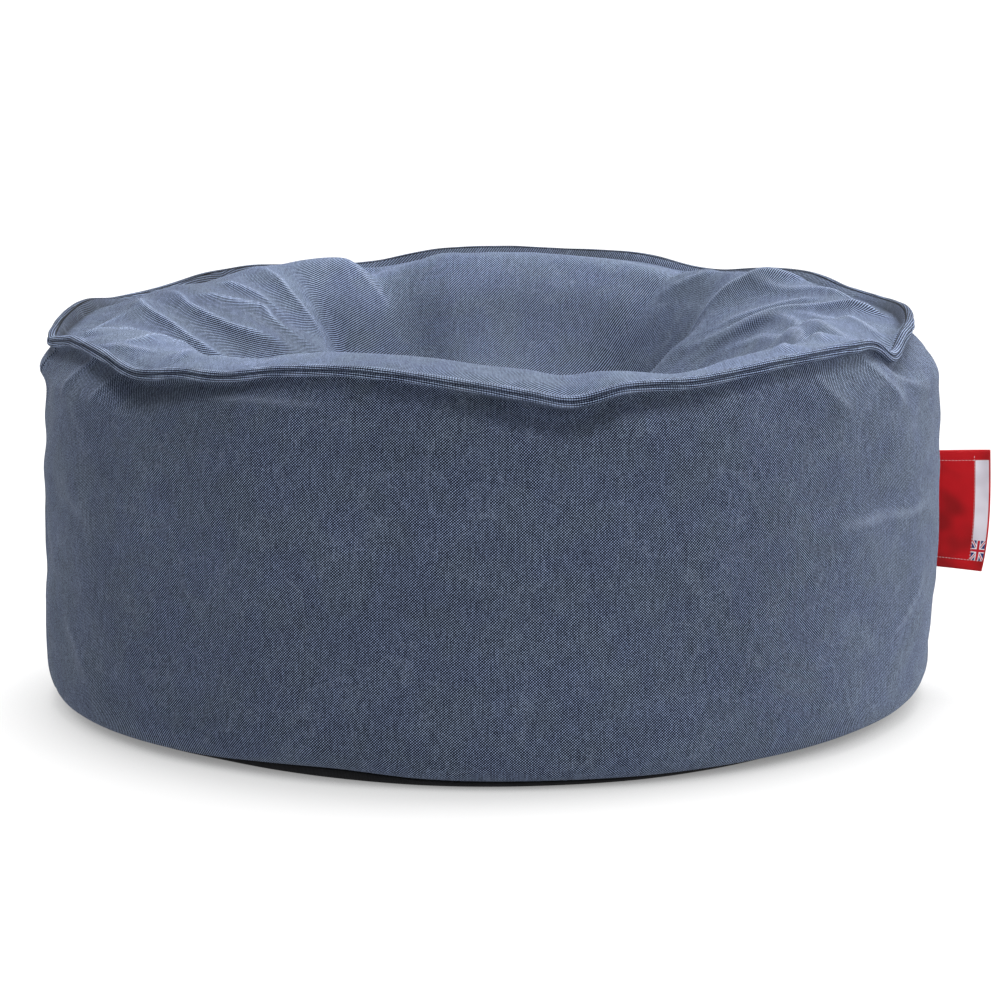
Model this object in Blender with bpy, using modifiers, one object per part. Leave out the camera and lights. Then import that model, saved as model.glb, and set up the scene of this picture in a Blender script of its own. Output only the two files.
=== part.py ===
"""Round bean-bag pouf of canvas: a filled body pressed in at the top, a stitched rim welt,
a black base panel and a bare side label.

Metres, +Z up. The origin is the centre of the base panel's underside, on the floor. The front
faces -Y. Azimuths are in degrees, 0 at the front, +90 at the right (+X) and -90 at the left.
The tables round the rim are in millimetres, as differences from the driving dimensions.
"""

import math
from collections import namedtuple

import bpy
import bmesh
import numpy as np

# Driving dimensions, in metres
RIM_RADIUS = 0.318
RIM_HEIGHT = 0.283
WALL_RADIUS = 0.330
FOOT_RADIUS = 0.302
CRATER_HEIGHT = 0.160
BASE_THICKNESS = 0.003
BASE_MARGIN = 0.001
WELT_GAP = 0.00035
GAP = 0.0003
LABEL_AZIMUTH = 96.0
LABEL_LOW = 0.0888
LABEL_HEIGHT = 0.0875
LABEL_WIDTH = 0.046
LABEL_THICKNESS = 0.002

MM = 0.001
STATIONS = 120

# Colours, roughness and metallic value
CANVAS = ((0.105, 0.14, 0.235, 1.0), 0.92, 0.0)
WELT_CANVAS = ((0.13, 0.17, 0.27, 1.0), 0.9, 0.0)
BLACK_CLOTH = ((0.012, 0.012, 0.016, 1.0), 0.85, 0.0)
RED_TAPE = ((0.50, 0.01, 0.015, 1.0), 0.5, 0.0)

# The rim, once round. radius and height place the seam. The top panel rises from it by rise at
# inset from the rim, over a hollow behind the seam, then falls into the crater: at once where
# fall is 1, and over a gentle shoulder where fall is 0.
RimRow = namedtuple("RimRow", "azimuth radius height inset rise hollow fall")
RIM = [
    RimRow(-172, 0, 3, 45, 4, 5, 0.55),
    RimRow(-163, 0, -5, 42, 1, 2, 0.75),
    RimRow(-152, 2, -5, 48, 16, 4, 0.95),
    RimRow(-145, 2, -2, 48, 11, 6, 0.90),
    RimRow(-138, 2, -3, 48, 8, 7, 0.35),
    RimRow(-126, 3, -10, 55, 12, 8, 0.10),
    RimRow(-116, 4, -10, 58, 15, 9, 0.10),
    RimRow(-108, 4, -5, 55, 9, 9, 0.15),
    RimRow(-98, 5, -8.5, 50, 8, 8, 0.20),
    RimRow(-87, 6, -12, 45, 7, 4, 0.20),
    RimRow(-73, -4, -4, 45, 6, 1, 0.25),
    RimRow(-61, -3, -4, 45, 7, 0, 0.40),
    RimRow(-51, 0, -10, 40, 8, 0, 0.60),
    RimRow(-43, 0, -4, 40, 6, 0, 0.80),
    RimRow(-35, 0, -2, 45, 7, 0, 1.00),
    RimRow(-28, 0, 5, 48, 6, 0, 1.00),
    RimRow(-14, 0, 8, 50, 5, 0, 1.00),
    RimRow(-4, 0, 2, 50, 7, 0, 1.00),
    RimRow(5, 0, -6, 50, 9, 0, 1.00),
    RimRow(10, 0, -11, 50, 10, 0, 1.00),
    RimRow(17, 0, -3, 42, 5, 0, 1.00),
    RimRow(26, 0, -2, 35, 1, 0, 0.90),
    RimRow(39, 0, 5, 35, 0, 0, 0.55),
    RimRow(53, 0, 7, 38, 0, 0, 0.35),
    RimRow(60, -2, 4, 40, 3, 1, 0.25),
    RimRow(66, -2, -9, 42, 8, 0, 0.20),
    RimRow(74, -6, -2, 45, 4, 2, 0.15),
    RimRow(88, -7, -2, 45, 2, 6, 0.10),
    RimRow(100, -2, -3, 45, 3, 8, 0.10),
    RimRow(113, 2, -4, 45, 6, 8, 0.10),
    RimRow(120, 2, -5, 48, 9, 6, 0.12),
    RimRow(129, 2, 1, 48, 4, 6, 0.35),
    RimRow(137, 2, 0, 50, 7, 5, 0.90),
    RimRow(148, 2, -6, 45, 6, 2, 0.95),
    RimRow(157, 0, 2, 45, 2, 4, 0.75),
    RimRow(170, 0, 4, 45, 4, 4, 0.55),
    RimRow(179, 0, 5, 45, 4, 4, 0.50),
]

# The side band, once round. foot, low, middle and high are its radii on the floor, 45 mm up,
# 130 mm up and just under the rim; lift is how far its lower edge stands off the base panel.
WallRow = namedtuple("WallRow", "azimuth foot low middle high lift")
WALL = [
    WallRow(-180, 0, -1, 1, -1, 0),
    WallRow(-135, 1, -1, 1, 0, 0),
    WallRow(-95, 5, -1, 1, 2, 0),
    WallRow(-80, 3, -1, 1, 2, 0),
    WallRow(-60, -2, -2, 1, 0, 0),
    WallRow(-40, -8, -3, 1, -1, 0.5),
    WallRow(-30, -5, -3, 1, -1, 3),
    WallRow(-20, -1, -2, 1, 0, 4.5),
    WallRow(-8, 4, -2, 1, 0, 1.5),
    WallRow(10, 4, -2, 1, 0, 0.5),
    WallRow(30, -1, -2, 1, 0, 0),
    WallRow(60, -7, -2, 1, 0, 0),
    WallRow(84, 0, -2, 2, 0, 0),
    WallRow(105, 2, -2, 1, -1, 0),
    WallRow(140, 0, -2, 1, -1, 0),
]

# Main folds of the top panel: ridges, or troughs where height is below 0, that run from an
# outer point by a middle one to an inner one, each an azimuth and a radius.
Fold = namedtuple("Fold", "outer middle inner height width")
TOP_FOLDS = [
    Fold((-74, 300), (-84, 270), (-97, 236), 5, 11),
    Fold((-108, 280), (-99, 237), (-104, 185), 8, 14),
    Fold((-113, 262), (-109, 222), (-126, 168), 8, 14),
    Fold((-113, 250), (-126, 215), (-133, 168), 5, 12),
    Fold((-139, 284), (-138, 230), (-148, 180), 11, 17),
    Fold((-60, 295), (-63, 262), (-86, 210), 5, 14),
    Fold((127, 285), (128, 238), (144, 180), 12, 17),
    Fold((127, 248), (118, 260), (106, 295), 4, 12),
    Fold((95, 290), (101, 240), (124, 180), 8, 13),
    Fold((65, 285), (90, 232), (122, 150), 7, 13),
    Fold((-160, 300), (-161, 260), (-162, 210), -7, 13),
    Fold((148, 300), (149, 260), (152, 210), -7, 14),
]

# Creases of the side band, as azimuth and height of their two ends. They are troughs, or ridges
# where depth is below 0.
Crease = namedtuple("Crease", "start end depth width")
WALL_CREASES = [
    Crease((87, 168), (24, 177), 3.5, 13),
    Crease((24, 176), (1, 130), 3.0, 13),
    Crease((-12, 135), (-43, 106), 2.5, 12),
    Crease((-84, 163), (-58, 152), 3.5, 11),
    Crease((-88, 97), (-62, 104), 3.0, 11),
    Crease((75, 122), (59, 66), 3.0, 12),
    Crease((57, 270), (77, 247), -4.0, 10),
    Crease((-62, 270), (-70, 242), -3.0, 9),
    Crease((32, 246), (45, 268), 2.5, 11),
    Crease((118, 170), (160, 128), 3.0, 14),
    Crease((-120, 98), (-165, 138), 3.0, 14),
]

# The side band from foot to seam: share is the way along the section.
FOOT_SHARES = (0, 0.025, 0.05, 0.08, 0.11, 0.20)
BAND_SHARES = (0.30, 0.39, 0.48, 0.58, 0.69, 0.80)
NECK_SHARES = (0.88, 0.92, 0.955, 0.98, 1)

# The seat that the welt lies against, outwards and up from the seam point
SEAT_LOW = (-3.4, -4.1)
SEAT_TOP = (-4.6, 1.7)
FIN_TOP = (-5.8, 2.5)

# The welt's outline, outwards and up from the seam point: two ridges and the stitched groove
WELT_OUTLINE = [
    (-1.0, -3.9),
    (0.7, -3.4),
    (1.2, -2.2),
    (0.7, -0.9),
    (-0.4, -0.4),
    (0.4, 0.3),
    (0.3, 1.6),
    (-1.0, 2.7),
    (-2.8, 3.0),
]

# Rows across the top panel: fixed insets up to the crest as shares of it, then shares of the rest
LIP_SHARES = (0.26, 0.4, 0.58, 0.78, 1)
CRATER_SHARES = (0.05, 0.11, 0.17, 0.23, 0.3, 0.37, 0.45, 0.54, 0.65, 0.78, 0.92)

# How far the crater has dropped at three shares of the way in, gentle and steep
DROP_SHARES = (0.10, 0.30, 0.62)
GENTLE_DROPS = (0.05, 0.24, 0.62)
STEEP_DROPS = (0.17, 0.68, 0.95)

# The creases start this far below the seam, and reach their depth over this much more
CREASE_TOP = 9
CREASE_FADE = 12


def column(rows, name, azimuth):
    """A table's column, read smoothly round the pouf at each azimuth."""
    at = np.array([row.azimuth for row in rows], float)
    value = np.array([getattr(row, name) for row in rows], float)
    at = np.concatenate([at[-2:] - 360, at, at[:2] + 360])
    value = np.concatenate([value[-2:], value, value[:2]])
    slope = np.gradient(value, at)
    turned = (np.asarray(azimuth, float) - at[2]) % 360 + at[2]
    left = np.clip(np.searchsorted(at, turned, side="right") - 1, 0, len(at) - 2)
    step = at[left + 1] - at[left]
    t = (turned - at[left]) / step
    return blend(t, value[left], value[left + 1], step * slope[left], step * slope[left + 1])


def blend(t, start, end, start_slope, end_slope):
    """Cubic between two values with the slopes at its ends, for t from 0 to 1."""
    bend = start_slope * t * (1 - t) ** 2 - end_slope * t**2 * (1 - t)
    return start + (end - start) * t * t * (3 - 2 * t) + bend


def curve_through(knots, values, at):
    """Smooth curve through (knot, value) pairs, level at its last knot, read at the numbers at."""
    knots = [np.broadcast_to(knot, at.shape) for knot in knots]
    values = [np.broadcast_to(value, at.shape) for value in values]
    steps = [b - a for a, b in zip(knots, knots[1:])]
    rates = [(b - a) / step for a, b, step in zip(values, values[1:], steps)]
    slopes = [rates[0]]
    for i in range(1, len(rates)):
        share = steps[i - 1] / (steps[i - 1] + steps[i])
        slopes.append(rates[i - 1] * (1 - share) + rates[i] * share)
    slopes.append(np.zeros(at.shape))
    result = values[0].astype(float)
    for i, step in enumerate(steps):
        t = np.clip((at - knots[i]) / step, 0, 1)
        here = blend(t, values[i], values[i + 1], step * slopes[i], step * slopes[i + 1])
        result = np.where(at >= knots[i], here, result)
    return result


def plan(azimuth, radius):
    """x and y of a point given by azimuth and radius."""
    angle = np.radians(azimuth)
    return radius * np.sin(angle), -radius * np.cos(angle)


def fold_path(fold, steps=12):
    """Points of the smooth curve in plan through a fold's outer, middle and inner points."""
    outer, middle, inner = (np.array(plan(*point)) for point in (fold.outer, fold.middle, fold.inner))
    handle = 2 * middle - (outer + inner) / 2
    t = np.linspace(0, 1, steps)[:, None]
    return (1 - t) ** 2 * outer + 2 * t * (1 - t) * handle + t * t * inner


def distance_to_path(path, x, y):
    """Distance from each point to a path, and the share of the path at which it is nearest."""
    nearest = np.full(x.shape, 1e9)
    share = np.zeros(x.shape)
    count = len(path) - 1
    for i in range(count):
        along = path[i + 1] - path[i]
        t = ((x - path[i][0]) * along[0] + (y - path[i][1]) * along[1]) / along.dot(along)
        t = np.clip(t, 0, 1)
        away = np.hypot(x - path[i][0] - t * along[0], y - path[i][1] - t * along[1])
        share = np.where(away < nearest, (i + t) / count, share)
        nearest = np.minimum(away, nearest)
    return nearest, share


def ridge(distance, width):
    """Height of a soft cloth ridge of height 1 at a distance from its crest."""
    crown = 0.35 * width
    return np.exp((crown - np.sqrt(distance**2 + crown**2)) / width)


def ends_faded(share):
    """1 along a fold, falling smoothly to 0 at its two ends."""
    t = np.clip(np.minimum(share, 1 - share) / 0.25, 0, 1)
    return t * t * (3 - 2 * t)


def top_folds(x, y):
    """What the folds add to the top panel's height."""
    total = np.zeros(x.shape)
    for fold in TOP_FOLDS:
        distance, share = distance_to_path(fold_path(fold), x, y)
        total += fold.height * ridge(distance, fold.width) * ends_faded(share)
    return total


def wall_creases(azimuth, height):
    """What the creases take from the side band's radius, on the band laid flat."""
    total = np.zeros(azimuth.shape)
    flat = math.radians(1) * WALL_RADIUS / MM
    for crease in WALL_CREASES:
        path = np.array([(crease.start[0] * flat, crease.start[1]), (crease.end[0] * flat, crease.end[1])])
        distance, share = distance_to_path(path, azimuth * flat, height)
        total += crease.depth * ridge(distance, crease.width) * ends_faded(share)
    return total


def rim_point(azimuth):
    """Radius and height of the seam, in millimetres."""
    radius = RIM_RADIUS / MM + column(RIM, "radius", azimuth)
    height = RIM_HEIGHT / MM + column(RIM, "height", azimuth)
    return radius, height


def top_rows(azimuth):
    """Radii and heights of the top panel's rows, from behind the seam to near the centre. The
    stations differ at the rim and merge into one round floor in the crater."""
    radius, height = rim_point(azimuth)
    inset, rise, hollow, fall = (column(RIM, name, azimuth) for name in ("inset", "rise", "hollow", "fall"))
    fall = np.clip(fall, 0, 1)
    crest = height + rise
    depth = crest - CRATER_HEIGHT / MM
    rest = radius - inset
    insets = [inset * share for share in LIP_SHARES] + [inset + rest * share for share in CRATER_SHARES]
    insets = np.stack(insets, axis=1)
    knots = [-FIN_TOP[0], 0.24 * inset, 0.5 * inset, inset]
    heights = [height + FIN_TOP[1], height + 0.45 * rise - 0.7 * hollow]
    heights += [height + 0.85 * rise - 0.7 * hollow, crest]
    for share, gentle, steep in zip(DROP_SHARES, GENTLE_DROPS, STEEP_DROPS):
        knots.append(inset + rest * share)
        heights.append(crest - depth * (gentle + (steep - gentle) * fall))
    knots.append(radius)
    heights.append(crest - depth)
    columns = [np.reshape(knot * np.ones_like(radius), (-1, 1)) for knot in knots]
    levels = [np.reshape(level, (-1, 1)) for level in heights]
    level = curve_through(columns, levels, insets)
    radii = radius[:, None] - insets
    x, y = plan(azimuth[:, None], radii)
    level = level + top_folds(x, y)
    share = np.clip((0.62 - radii / radius[:, None]) / 0.5, 0, 1)
    rounded = share * share * (3 - 2 * share)
    return radii, level + (level.mean(axis=0) - level) * rounded


def wall_rows(azimuth):
    """Radii and heights of the side band's rows, from its foot to the seat under the seam."""
    radius, height = rim_point(azimuth)
    wall = WALL_RADIUS / MM
    foot = FOOT_RADIUS / MM + column(WALL, "foot", azimuth)
    low = wall + column(WALL, "low", azimuth)
    middle = wall + column(WALL, "middle", azimuth)
    high = wall + column(WALL, "high", azimuth)
    floor = (BASE_THICKNESS + GAP) / MM
    lift = np.maximum(column(WALL, "lift", azimuth), 0)
    knots = [0, 0.05, 0.11, 0.20, 0.48, 0.80, 0.88, 0.955, 0.985, 1]
    radii = [foot, foot + 0.6 * (low - foot), foot + 0.9 * (low - foot), low, middle, high, high - 2]
    radii += [radius + 1.5, radius - 2.9, radius + SEAT_LOW[0]]
    heights = [floor + lift, 7 + lift, 19 + 0.5 * lift, 45 + 0 * foot, 130 + 0 * foot, height - 48]
    heights += [height - 30, height - 12, height - 6, height + SEAT_LOW[1]]
    shares = np.array(FOOT_SHARES + BAND_SHARES + NECK_SHARES, float)
    shares = np.broadcast_to(shares, (len(azimuth), len(shares)))
    radii = curve_through(knots, [value[:, None] for value in radii], shares)
    heights = curve_through(knots, [value[:, None] for value in heights], shares)
    creases = wall_creases(np.broadcast_to(azimuth[:, None], radii.shape), heights)
    below_seam = np.clip((height[:, None] - heights - CREASE_TOP) / CREASE_FADE, 0, 1)
    return radii - creases * below_seam, heights


def material(name, look):
    colour, roughness, metallic = look
    made = bpy.data.materials.new(name)
    made.use_nodes = True
    shader = made.node_tree.nodes["Principled BSDF"]
    shader.inputs["Base Color"].default_value = colour
    shader.inputs["Roughness"].default_value = roughness
    shader.inputs["Metallic"].default_value = metallic
    return made


def loft(name, sections, ends):
    """An object lofted round through sections, each a list of points in millimetres. With ends,
    the first and last points close to a centre; without, each section is closed on itself."""
    build = bmesh.new()
    rings = [[build.verts.new([c * MM for c in point]) for point in section] for section in sections]
    rows = len(rings[0])
    for ring, following in zip(rings, rings[1:] + rings[:1]):
        for i in range(rows - 1 if ends else rows):
            j = (i + 1) % rows
            build.faces.new((ring[i], following[i], following[j], ring[j]))
    if ends:
        for i, height in ((0, ends[0]), (-1, ends[1])):
            centre = build.verts.new((0, 0, height * MM))
            for ring, following in zip(rings, rings[1:] + rings[:1]):
                corners = (ring[i], following[i], centre)
                build.faces.new(corners if i else corners[::-1])
    bmesh.ops.recalc_face_normals(build, faces=build.faces)
    mesh = bpy.data.meshes.new(name)
    build.to_mesh(mesh)
    build.free()
    mesh.shade_smooth()
    made = bpy.data.objects.new(name, mesh)
    parts.objects.link(made)
    return made


def make_body(azimuth):
    """The filled cloth form: side band, neck, welt seat, lip, shoulders and crater."""
    radius, height = rim_point(azimuth)
    wall_radii, wall_heights = wall_rows(azimuth)
    top_radii, top_heights = top_rows(azimuth)
    floor = (BASE_THICKNESS + GAP) / MM
    sections = []
    for i, angle in enumerate(azimuth):
        foot = wall_radii[i][0]
        profile = [(0.55 * foot, floor), (0.93 * foot, floor)]
        profile += list(zip(wall_radii[i], wall_heights[i]))
        profile += [(radius[i] + out, height[i] + up) for out, up in (SEAT_TOP, FIN_TOP)]
        profile += list(zip(top_radii[i], top_heights[i]))
        sections.append([(*plan(angle, r), z) for r, z in profile])
    body = loft("pouf_body", sections, ends=(floor, CRATER_HEIGHT / MM))
    body.data.materials.append(material("canvas", CANVAS))


def make_welt(azimuth):
    """The turned and stitched seam that stands proud round the rim, against its seat."""
    radius, height = rim_point(azimuth)
    gap = WELT_GAP / MM
    inner = [(SEAT_TOP[0] + gap, SEAT_TOP[1] + 0.6), (SEAT_LOW[0] + gap, SEAT_LOW[1])]
    outline = WELT_OUTLINE + inner
    sections = []
    for i, angle in enumerate(azimuth):
        sections.append([(*plan(angle, radius[i] + out), height[i] + up) for out, up in outline])
    welt = loft("rim_welt", sections, ends=None)
    welt.data.materials.append(material("welt_canvas", WELT_CANVAS))


def make_base(azimuth):
    """The flat round base panel, a little wider than the side band's foot."""
    foot = FOOT_RADIUS + MM * column(WALL, "foot", azimuth) + BASE_MARGIN
    outline = bpy.data.curves.new("base_outline", "CURVE")
    outline.dimensions = "2D"
    outline.fill_mode = "BOTH"
    outline.extrude = BASE_THICKNESS / 2
    spline = outline.splines.new("POLY")
    spline.points.add(len(azimuth) - 1)
    for point, angle, radius in zip(spline.points, azimuth, foot):
        point.co = (*plan(angle, radius), 0, 1)
    spline.use_cyclic_u = True
    drawn = bpy.data.objects.new("base_outline", outline)
    parts.objects.link(drawn)
    bpy.context.view_layer.update()
    mesh = bpy.data.meshes.new_from_object(drawn.evaluated_get(bpy.context.evaluated_depsgraph_get()))
    bpy.data.objects.remove(drawn)
    build = bmesh.new()
    build.from_mesh(mesh)
    bmesh.ops.remove_doubles(build, verts=build.verts, dist=1e-5)
    build.to_mesh(mesh)
    build.free()
    mesh.name = "base_panel"
    base = bpy.data.objects.new("base_panel", mesh)
    base.location.z = BASE_THICKNESS / 2
    base.data.materials.clear()
    base.data.materials.append(material("black_cloth", BLACK_CLOTH))
    parts.objects.link(base)


def make_label():
    """The folded red tape that stands out of the right side seam, gently waved."""
    columns, rows = 6, 9
    heights = np.linspace(LABEL_LOW, LABEL_LOW + LABEL_HEIGHT, rows)
    spot = np.full(rows, LABEL_AZIMUTH)
    wall = WALL_RADIUS + MM * column(WALL, "middle", spot) - MM * wall_creases(spot, heights / MM)
    build = bmesh.new()
    bmesh.ops.create_grid(build, x_segments=columns - 1, y_segments=rows - 1, size=0.5)
    turn = math.radians(LABEL_AZIMUTH)
    for vertex in build.verts:
        across = vertex.co.x + 0.5
        up = vertex.co.y + 0.5
        root = np.interp(LABEL_LOW + up * LABEL_HEIGHT, heights, wall) + 3 * GAP
        out = root + across * (LABEL_WIDTH - 0.006 * (1 - up) ** 3)
        wave = 0.004 * across * math.sin(math.pi * (up + 0.15)) + 0.003 * across**2
        vertex.co.x = out * math.sin(turn) - wave * math.cos(turn)
        vertex.co.y = -out * math.cos(turn) - wave * math.sin(turn)
        vertex.co.z = LABEL_LOW + up * LABEL_HEIGHT - 0.0045 * across * (1 - up)
    mesh = bpy.data.meshes.new("side_label")
    bmesh.ops.recalc_face_normals(build, faces=build.faces)
    build.to_mesh(mesh)
    build.free()
    label = bpy.data.objects.new("side_label", mesh)
    parts.objects.link(label)
    solidify = label.modifiers.new("tape", "SOLIDIFY")
    solidify.thickness = LABEL_THICKNESS
    solidify.offset = 0
    bevel = label.modifiers.new("fold", "BEVEL")
    bevel.width = 0.0005
    bevel.segments = 1
    bevel.angle_limit = math.radians(50)
    label.data.materials.append(material("red_tape", RED_TAPE))


for old in list(bpy.data.objects):
    bpy.data.objects.remove(old)
parts = bpy.data.collections.new("bean_bag_pouf")
bpy.context.scene.collection.children.link(parts)

azimuths = np.linspace(-180, 180, STATIONS, endpoint=False)
make_body(azimuths)
make_welt(azimuths)
make_base(azimuths)
make_label()
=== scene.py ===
"""Looks of the round bean-bag pouf: the stonewashed canvas cover with its folds, creases and
seams, the stitched rim, the black base, the bare red label, the studio and the camera.

Azimuths are in degrees, 0 at the front (-Y), +90 at the right (+X). The tables round the rim
are in millimetres, as in the CAD part, and are fitted to the frame's boxes.
"""

import math
from collections import namedtuple

import bpy
import numpy as np
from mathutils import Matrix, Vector


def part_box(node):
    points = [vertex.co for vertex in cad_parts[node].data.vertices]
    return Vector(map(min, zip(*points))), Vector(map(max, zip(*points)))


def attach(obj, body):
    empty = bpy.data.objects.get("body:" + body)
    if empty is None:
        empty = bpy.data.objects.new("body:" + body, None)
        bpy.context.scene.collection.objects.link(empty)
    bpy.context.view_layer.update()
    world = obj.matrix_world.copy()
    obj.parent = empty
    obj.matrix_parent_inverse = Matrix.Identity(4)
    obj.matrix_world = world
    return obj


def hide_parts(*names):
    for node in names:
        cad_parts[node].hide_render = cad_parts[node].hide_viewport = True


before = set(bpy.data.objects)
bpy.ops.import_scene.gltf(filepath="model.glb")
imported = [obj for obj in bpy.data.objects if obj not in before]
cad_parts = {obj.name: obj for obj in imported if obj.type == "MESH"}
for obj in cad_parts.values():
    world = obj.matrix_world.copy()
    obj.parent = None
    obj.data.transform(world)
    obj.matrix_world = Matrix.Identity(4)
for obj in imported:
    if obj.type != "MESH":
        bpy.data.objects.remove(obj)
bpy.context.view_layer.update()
body_low, body_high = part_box("pouf_body")
_, label_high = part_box("side_label")

MM = 0.001
BODY_WIDTH_DRAWN = 664.5
SCALE = (body_high.x - body_low.x) / (BODY_WIDTH_DRAWN * MM)

# Driving dimensions, in millimetres
RIM_RADIUS = 318 * SCALE
RIM_HEIGHT = 283 * SCALE
WALL_RADIUS = 330 * SCALE
FOOT_RADIUS = 302 * SCALE
CRATER_HEIGHT = 160 * SCALE
FLOOR_OF_BODY = body_low.z / MM

# Sections round the cover, and how many degrees beside its upright seams more of them lie
ROUND_STATIONS = 636
BESIDE_SEAM = (0.13, 0.32, 0.55)
# The upright seams: azimuths, depth and half width of the groove, and height, distance and half
# width of the swell on both sides of it
SIDE_SEAMS = (96.0, -84.0)
SIDE_GROOVE = (1.9, 1.3)
SIDE_SWELL = (0.9, 4.5, 3.5)

# The side label: folded tape that stands out of the right side seam
LABEL_AZIMUTH = SIDE_SEAMS[0]
LABEL_TOP = label_high.z / MM
LABEL_HEIGHT = 87.5 * SCALE
LABEL_WIDTH = 45 * SCALE
LABEL_ROOT_IN = 1.5
TAPE_THICKNESS = 0.45
# The share of its width at which the tape starts to turn round its fold
TAPE_FOLD = 0.975
# White strip along the label's fold and the flag on it, in millimetres across and up
LABEL_BAND = (LABEL_WIDTH - 10.8, LABEL_WIDTH - 1.0)
LABEL_BAND_UP = (7.5, 80.2)
FLAG_UP = (7.5, 22.2)
# Rows of stitches: pitch, then start and end as shares of the label's width and height
LABEL_SEWING = [
    (2.4, (0.745, 0.085), (0.745, 0.955)),
    (2.4, (0.04, 0.915), (0.97, 0.915)),
    (2.4, (0.04, 0.085), (0.97, 0.085)),
]

# The base cloth, and its section from the middle of its underside over its turned edge and back:
# share of the foot's radius, distance beyond it and share of the thickness
BASE_THICKNESS = 2.6
BASE_STATIONS = 360
BASE_SECTION = [
    (0.2, 0, 0.15), (0.4, 0, 0.15), (0.6, 0, 0.15), (0.8, 0, 0.15),
    (0.93, 0, 0.12), (0.96, 0, 0.1), (0.965, 0, 0.0), (1, -0.6, 0.0),
    (1, 0.5, 0.2), (1, 0.9, 0.5), (1, 0.5, 0.85), (1, -0.6, 1.0),
    (0.96, 0, 1.0), (0.6, 0, 1.0), (0.2, 0, 1.0),
]


def table(names, *rows):
    """Rows whose values are read by the names of their columns."""
    row = namedtuple("Row", names)
    return [row(*values) for values in rows]


# Arcs of azimuth with the most folds
FOLDED_ARCS = [(-150, -40), (40, 150)]

# The rim, once round. radius and height are added to the rim's own and place the seam. The top
# panel rises from it by rise at inset from the rim, over a hollow behind the seam, then falls
# into the crater: at once where fall is 1, and over a gentle shoulder where fall is 0.
RIM = table(
    "azimuth radius height inset rise hollow fall",
    (-172, 0, 3, 45, 4, 5, 0.55), (-163, 0, -5, 42, 1, 2, 0.75),
    (-152, 2, -5, 48, 13, 4, 0.95), (-145, 2, -2, 48, 9, 6, 0.9),
    (-138, 2, -3, 48, 8, 7, 0.35), (-126, 3, -10, 55, 12, 8, 0.1),
    (-116, 4, -10, 58, 15, 9, 0.1), (-108, 4, -5, 55, 6, 9, 0.15),
    (-98, 5, -8.5, 50, 1, 8, 0.2), (-87, 6, -14, 45, 4, 5, 0.2),
    (-73, -4, -4, 45, 6, 1, 0.25), (-61, -3, -4, 45, 7, 0, 0.4),
    (-51, 0, -10, 40, 8, 0, 0.6), (-43, 0, -4, 40, 6, 0, 0.8),
    (-35, 0, -2, 45, 7, 0, 1), (-28, 0, 5, 48, 6, 0, 1),
    (-14, 0, 8, 50, 5, 0, 1), (-4, 0, 2, 50, 7, 0, 1),
    (5, 0, -6, 50, 9, 0, 1), (10, 0, -11, 50, 10, 0, 1),
    (17, 0, -3, 42, 5, 0, 1), (26, 0, -2, 35, 1, 0, 0.9),
    (39, 0, 5, 35, 0, 0, 0.55), (53, 0, 7, 38, 0, 0, 0.35),
    (60, -2, 4, 40, 3, 1, 0.25), (66, -2, -9, 42, 8, 0, 0.2),
    (74, -6, -2, 45, 4, 2, 0.15), (88, -7, -2, 45, 2, 6, 0.1),
    (100, -2, -3, 45, 3, 8, 0.1), (113, 2, -6, 45, 7, 8, 0.1),
    (120, 2, -5, 48, 8, 6, 0.12), (129, 2, 1, 48, 4, 6, 0.2),
    (136, 2, 0, 50, 4, 5, 0.95), (148, 2, -6, 45, 6, 2, 0.95),
    (157, 0, 2, 45, 2, 4, 0.75), (170, 0, 4, 45, 4, 4, 0.55),
    (179, 0, 5, 45, 4, 4, 0.5),
)

# How far the top panel's edge lies below the top of the rim seam, whose inner face shows there,
# and how much painted shade the pillow inside it gets, between its crests
EDGE = table(
    "azimuth drop shade",
    (-170, 4.5, 0), (-155, 2.5, 0), (-148, 3.5, 0.1),
    (-138, 6, 0.25), (-126, 2, 0.52), (-114, 4, 0.52),
    (-103, 7, 0.48), (-92, 5.5, 0.42), (-82, 1.5, 0.3),
    (-60, 0, 0.15), (-35, 0, 0), (-8, 0, 0.34),
    (8, 0, 0.34), (35, 0, 0), (60, 0, 0),
    (82, 2.5, 0.18), (92, 7.5, 0.22), (104, 5.5, 0.3),
    (114, 2, 0.24), (128, 3, 0.15), (142, 5.5, 0.3),
    (152, 3, 0.1), (165, 5, 0), (180, 4, 0),
)

# The side band, once round. foot, low, middle and high are added to its radii on the floor,
# 45 mm up, 130 mm up and 48 mm below the seam; lift is how far its lower edge stands off the
# base panel; tuck is how deep the neck under the seam is drawn in, and reach how far down it goes.
WALL = table(
    "azimuth foot low middle high lift tuck reach",
    (-180, 0, -1, 1, -1, 0, 3, 20), (-135, 1, -1, 1, 0, 0, 4, 22),
    (-95, 5, -1, -2, -3, 0, 3, 18), (-80, 3, -1, -2, -3, 0, 3, 16),
    (-60, -2, -2, 1, 0, 0, 5, 22), (-49, -6, -2, 1, -1, 0.2, 10, 26),
    (-40, -8, -3, 1, -1, 0.5, 6, 22), (-30, -5, -3, 1, -1, 3, 3, 12),
    (-20, -1, -2, 1, 0, 4.5, 2, 12), (-8, 4, -2, 1, 0, 1.5, 4, 18),
    (9, 4, -2, 1, 0, 0.5, 11, 26), (20, 2, -2, 1, 0, 0, 5, 20),
    (30, -3, -2, 1, 0, 0, 3, 16), (60, -15, -4, 1, 0, 0, 3, 16),
    (84, -9, -4, 2, 0, 0, 4, 20), (105, -2, -2, 1, -1, 0, 4, 20),
    (140, 0, -2, 1, -1, 0, 3, 20),
)

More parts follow.
